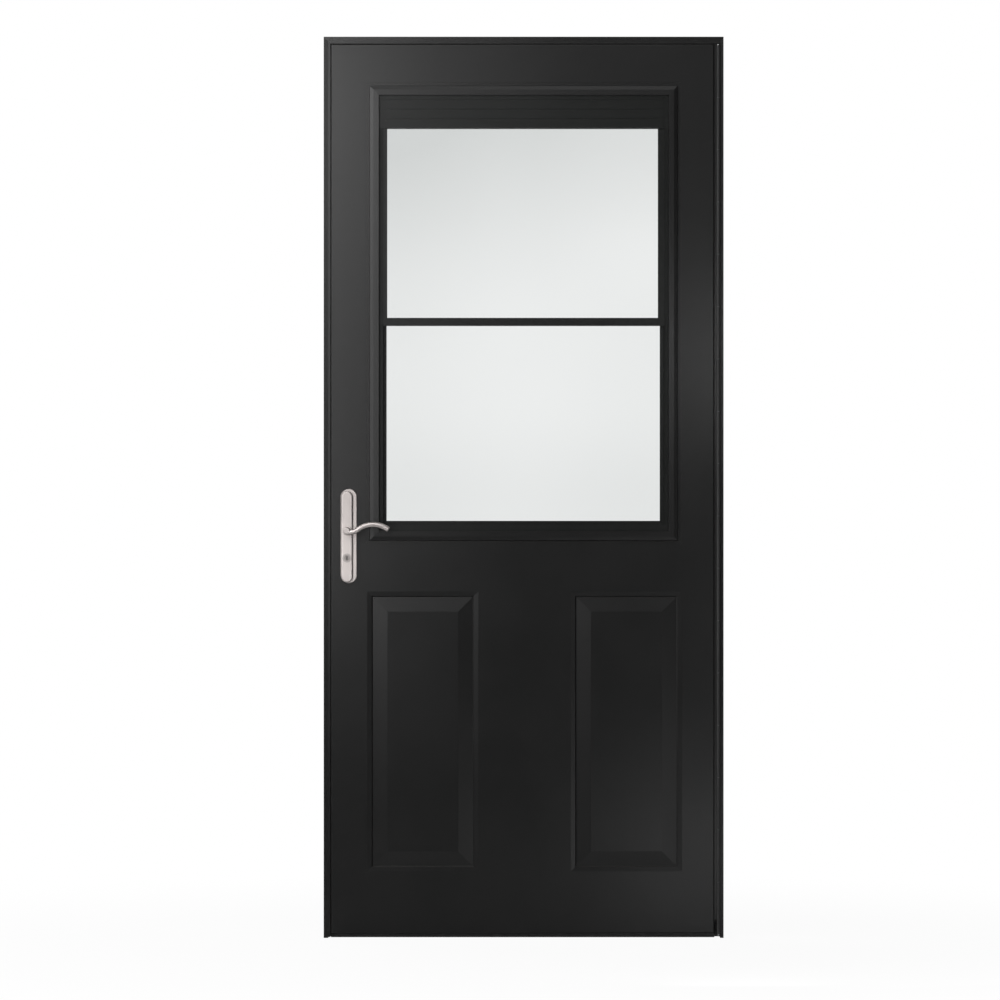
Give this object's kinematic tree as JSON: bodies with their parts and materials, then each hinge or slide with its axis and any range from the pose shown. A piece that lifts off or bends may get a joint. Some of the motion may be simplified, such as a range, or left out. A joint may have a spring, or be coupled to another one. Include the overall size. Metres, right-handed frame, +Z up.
{
  "type": "half-view storm door in its mounting frame",
  "caption": "Black half-view storm door hung in a slim frame, with a two-sash window, raised panels below and a satin nickel lever handle.",
  "frame": {"origin": "foot of the hinge rail on the face that is screwed to the doorway, at the leaf's street face", "axes": "+X to the right along the wall as seen from the street, +Y into the house, +Z up"},
  "size_m": [0.902, 0.141, 2.033],
  "materials": {
    "black_leaf_paint": "satin",
    "black_frame_paint": "satin",
    "black_sash_paint": "satin",
    "satin_nickel": "satin",
    "bright_steel": "satin",
    "clear_glass": "gloss",
    "seal_pile": "matt",
    "sweep_vinyl": "matt",
    "core_board": "matt"
  },
  "bodies": {
    "frame": {"hinge_rail": "black_frame_paint", "latch_rail": "black_frame_paint", "head_rail": "black_frame_paint", "side_stops": "black_frame_paint", "head_stop": "black_frame_paint", "strike_plate": "satin_nickel", "side_seals": "seal_pile", "head_seal": "seal_pile", "fixed_hinge_flap": "black_frame_paint", "hinge_pin": "bright_steel"},
    "leaf": {"moving_hinge_flap": "black_frame_paint", "hinge_stile": "black_leaf_paint", "lock_stile": "black_leaf_paint", "top_rail": "black_leaf_paint", "lower_core": "core_board", "outer_skin": "black_leaf_paint", "inner_skin": "black_leaf_paint", "screen_cassette": "black_sash_paint", "window_tracks": "black_sash_paint", "sill_track": "black_sash_paint", "upper_glass": "clear_glass", "lower_glass": "clear_glass", "upper_sash_stiles": "black_sash_paint", "check_rail": "black_sash_paint", "lower_sash_stiles": "black_sash_paint", "lower_sash_rails": "black_sash_paint", "bottom_expander": "black_leaf_paint", "door_sweep": "sweep_vinyl", "outer_escutcheon": "satin_nickel", "inner_escutcheon": "satin_nickel", "key_cylinder": "satin_nickel", "lock_faceplate": "satin_nickel", "lock_bolts": "satin_nickel", "outer_surround_left": "black_leaf_paint", "outer_surround_right": "black_leaf_paint", "outer_surround_sill": "black_leaf_paint", "outer_surround_top": "black_leaf_paint", "inner_surround_left": "black_leaf_paint", "inner_surround_right": "black_leaf_paint", "inner_surround_sill": "black_leaf_paint", "inner_surround_top": "black_leaf_paint"},
    "lever": {"outer_lever": "satin_nickel", "inner_lever": "satin_nickel", "spindle": "bright_steel"},
    "lock_turn": {"key_plug": "satin_nickel", "thumb_turn": "satin_nickel"}
  },
  "joints": [
    {"name": "door_swing", "type": "hinge", "parent": "frame", "child": "leaf", "pos_m": [-0.0115, -0.002, 1], "axis": [0, 0, 1], "range_deg": [0, 105]},
    {"name": "lever_turn", "type": "hinge", "parent": "leaf", "child": "lever", "pos_m": [-0.8492, 0, 0.9185], "axis": [0, 1, 0], "range_deg": [0, 30], "stiffness_Nm_per_rad": 1.5, "springref_deg": -8.59},
    {"name": "lock_turning", "type": "hinge", "parent": "leaf", "child": "lock_turn", "pos_m": [-0.8492, 0, 0.8572], "axis": [0, 1, 0], "range_deg": [0, 90]}
  ]
}
